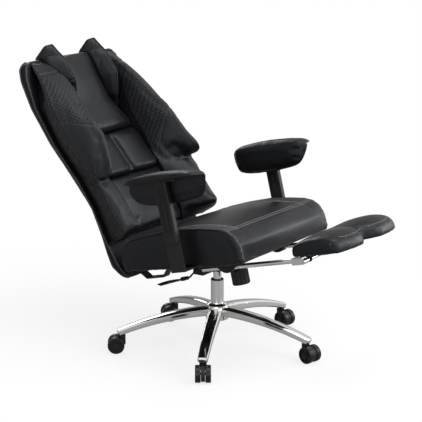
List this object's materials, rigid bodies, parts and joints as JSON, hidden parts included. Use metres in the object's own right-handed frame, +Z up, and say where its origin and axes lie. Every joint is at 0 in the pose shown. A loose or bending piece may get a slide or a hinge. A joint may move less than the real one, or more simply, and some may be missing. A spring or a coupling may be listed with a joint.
{
  "type": "reclining office chair with footrest",
  "caption": "High-backed padded office chair on a castored star base, with a winged backrest, height-adjustable armrests and a pull-out folding footrest.",
  "frame": {"origin": "the point on the floor under the gas lift's axis, with all the casters standing on z = 0", "axes": "+Z up along the gas lift, -Y the way the sitter faces, +X the sitter's left"},
  "size_m": [0.6919, 1.2594, 0.9905],
  "materials": {
    "polished_metal": "polished",
    "chrome_rods": "gloss",
    "black_steel": "satin",
    "steel": "satin",
    "black_plastic": "matte",
    "black_leather": "satin",
    "shell_leather": "satin",
    "dust_cover": "matte",
    "plywood": "matte"
  },
  "bodies": {
    "base": {"base_star": "polished_metal", "stem_sleeves": "black_steel", "column_tube": "polished_metal", "guide_bushing": "black_plastic"},
    "caster_1": {"caster_1_housing": "black_plastic"},
    "caster_1_left": {"caster_1_wheel_left": "black_plastic"},
    "caster_1_right": {"caster_1_wheel_right": "black_plastic"},
    "caster_2": {"caster_2_housing": "black_plastic"},
    "caster_2_left": {"caster_2_wheel_left": "black_plastic"},
    "caster_2_right": {"caster_2_wheel_right": "black_plastic"},
    "caster_3": {"caster_3_housing": "black_plastic"},
    "caster_3_left": {"caster_3_wheel_left": "black_plastic"},
    "caster_3_right": {"caster_3_wheel_right": "black_plastic"},
    "caster_4": {"caster_4_housing": "black_plastic"},
    "caster_4_left": {"caster_4_wheel_left": "black_plastic"},
    "caster_4_right": {"caster_4_wheel_right": "black_plastic"},
    "caster_5": {"caster_5_housing": "black_plastic"},
    "caster_5_left": {"caster_5_wheel_left": "black_plastic"},
    "caster_5_right": {"caster_5_wheel_right": "black_plastic"},
    "lift_rod": {"piston_rod": "steel", "thrust_bearing": "steel"},
    "mechanism": {"gas_cylinder": "polished_metal", "mechanism_housing": "black_steel", "tilt_pivot_pin": "steel"},
    "release_pin": {"release_pin": "steel"},
    "tilt_lock": {"tilt_lock_slider": "black_steel"},
    "lever": {"lever_rod": "black_steel", "lever_paddle": "black_plastic"},
    "seat": {"tilt_plate": "black_steel", "tension_bolt": "steel", "tension_spring": "steel", "seat_board": "plywood", "seat_cover": "dust_cover", "seat_cushion": "black_leather", "rod_guides": "black_plastic", "arm_bracket_left": "black_steel", "arm_bracket_right": "black_steel", "back_bar_left": "black_steel", "back_bar_right": "black_steel", "frame_bolts": "steel", "back_shell": "shell_leather", "head_cushion": "black_leather", "lumbar_cushion": "black_leather", "lower_cushion": "black_leather", "head_lobe_left": "black_leather", "head_lobe_right": "black_leather", "upper_wing_left": "black_leather", "upper_wing_right": "black_leather", "lower_wing_left": "black_leather", "lower_wing_right": "black_leather"},
    "tension_knob": {"tension_knob": "black_plastic"},
    "arm_left": {"arm_sleeve_left": "black_steel", "arm_pad_left": "black_leather"},
    "arm_button_left": {"arm_button_left": "black_plastic"},
    "arm_right": {"arm_sleeve_right": "black_steel", "arm_pad_right": "black_leather"},
    "arm_button_right": {"arm_button_right": "black_plastic"},
    "footrest_slide": {"footrest_frame": "chrome_rods"},
    "footrest_pad": {"footrest_board": "black_plastic", "footrest_cushion": "black_leather"}
  },
  "joints": [
    {"name": "caster_1_swivel", "type": "hinge", "parent": "base", "child": "caster_1", "pos_m": [0.32082, -0.05196, 0.06], "axis": [0, 0, 1], "continuous": true},
    {"name": "caster_1_left_roll", "type": "hinge", "parent": "caster_1", "child": "caster_1_left", "pos_m": [0.31804, -0.07177, 0.0285], "axis": [0.9903, -0.1392, 0], "continuous": true},
    {"name": "caster_1_right_roll", "type": "hinge", "parent": "caster_1", "child": "caster_1_right", "pos_m": [0.31804, -0.07177, 0.0285], "axis": [0.9903, -0.1392, 0], "continuous": true},
    {"name": "caster_2_swivel", "type": "hinge", "parent": "base", "child": "caster_2", "pos_m": [0.14856, 0.28906, 0.06], "axis": [0, 0, 1], "continuous": true},
    {"name": "caster_2_left_roll", "type": "hinge", "parent": "caster_2", "child": "caster_2_left", "pos_m": [0.13442, 0.3032, 0.0285], "axis": [-0.7071, -0.7071, 0], "continuous": true},
    {"name": "caster_2_right_roll", "type": "hinge", "parent": "caster_2", "child": "caster_2_right", "pos_m": [0.13442, 0.3032, 0.0285], "axis": [-0.7071, -0.7071, 0], "continuous": true},
    {"name": "caster_3_swivel", "type": "hinge", "parent": "base", "child": "caster_3", "pos_m": [-0.22901, 0.23061, 0.06], "axis": [0, 0, 1], "continuous": true},
    {"name": "caster_3_left_roll", "type": "hinge", "parent": "caster_3", "child": "caster_3_left", "pos_m": [-0.24132, 0.24637, 0.0285], "axis": [-0.788, -0.6157, 0], "continuous": true},
    {"name": "caster_3_right_roll", "type": "hinge", "parent": "caster_3", "child": "caster_3_right", "pos_m": [-0.24132, 0.24637, 0.0285], "axis": [-0.788, -0.6157, 0], "continuous": true},
    {"name": "caster_4_swivel", "type": "hinge", "parent": "base", "child": "caster_4", "pos_m": [-0.29009, -0.14653, 0.06], "axis": [0, 0, 1], "continuous": true},
    {"name": "caster_4_left_roll", "type": "hinge", "parent": "caster_4", "child": "caster_4_left", "pos_m": [-0.30647, -0.15801, 0.0285], "axis": [0.5736, -0.8192, 0], "continuous": true},
    {"name": "caster_4_right_roll", "type": "hinge", "parent": "caster_4", "child": "caster_4_right", "pos_m": [-0.30647, -0.15801, 0.0285], "axis": [0.5736, -0.8192, 0], "continuous": true},
    {"name": "caster_5_swivel", "type": "hinge", "parent": "base", "child": "caster_5", "pos_m": [0.04972, -0.32117, 0.06], "axis": [0, 0, 1], "continuous": true},
    {"name": "caster_5_left_roll", "type": "hinge", "parent": "caster_5", "child": "caster_5_left", "pos_m": [0.04556, -0.34074, 0.0285], "axis": [0.9781, -0.2079, 0], "continuous": true},
    {"name": "caster_5_right_roll", "type": "hinge", "parent": "caster_5", "child": "caster_5_right", "pos_m": [0.04556, -0.34074, 0.0285], "axis": [0.9781, -0.2079, 0], "continuous": true},
    {"name": "seat_swivel", "type": "hinge", "parent": "base", "child": "lift_rod", "pos_m": [0, 0, 0.2], "axis": [0, 0, 1], "continuous": true},
    {"name": "gas_lift", "type": "slide", "parent": "lift_rod", "child": "mechanism", "axis": [0, 0, 1], "range_m": [-0.022, 0.078]},
    {"name": "release_press", "type": "slide", "parent": "mechanism", "child": "release_pin", "axis": [0, 0, -1], "range_m": [0, 0.006], "stiffness_N_per_m": 400},
    {"name": "tilt_lock_slide", "type": "slide", "parent": "mechanism", "child": "tilt_lock", "axis": [-1, 0, 0], "range_m": [0, 0.012]},
    {"name": "lever_lift", "type": "hinge", "parent": "tilt_lock", "child": "lever", "pos_m": [-0.058, 0.006, 0.3032], "axis": [0, 1, 0], "range_deg": [0, 5], "stiffness_Nm_per_rad": 1.5},
    {"name": "seat_tilt", "type": "hinge", "parent": "mechanism", "child": "seat", "pos_m": [0, -0.03, 0.307], "axis": [1, 0, 0], "range_deg": [0, 14]},
    {"name": "tension_knob_turn", "type": "hinge", "parent": "seat", "child": "tension_knob", "pos_m": [0, -0.09376, 0.26209], "axis": [0, 0.2419, 0.9703], "range_deg": [-1080, 1080]},
    {"name": "arm_left_height", "type": "slide", "parent": "seat", "child": "arm_left", "axis": [0, 0.2419, 0.9703], "range_m": [0, 0.07]},
    {"name": "arm_left_button_press", "type": "slide", "parent": "arm_left", "child": "arm_button_left", "axis": [1, 0, 0], "range_m": [0, 0.0025], "stiffness_N_per_m": 600},
    {"name": "arm_right_height", "type": "slide", "parent": "seat", "child": "arm_right", "axis": [0, 0.2419, 0.9703], "range_m": [0, 0.07]},
    {"name": "arm_right_button_press", "type": "slide", "parent": "arm_right", "child": "arm_button_right", "axis": [-1, 0, 0], "range_m": [0, 0.0025], "stiffness_N_per_m": 600},
    {"name": "footrest_slide_in", "type": "slide", "parent": "seat", "child": "footrest_slide", "axis": [0, 0.9703, -0.2419], "range_m": [0, 0.105]},
    {"name": "footrest_fold", "type": "hinge", "parent": "footrest_slide", "child": "footrest_pad", "pos_m": [0, -0.43049, 0.40788], "axis": [1, 0, 0], "range_deg": [0, 180]}
  ],
  "couplings": [
    {"joint": "release_press", "follows": "lever_lift", "m_per_rad": 0.064}
  ]
}
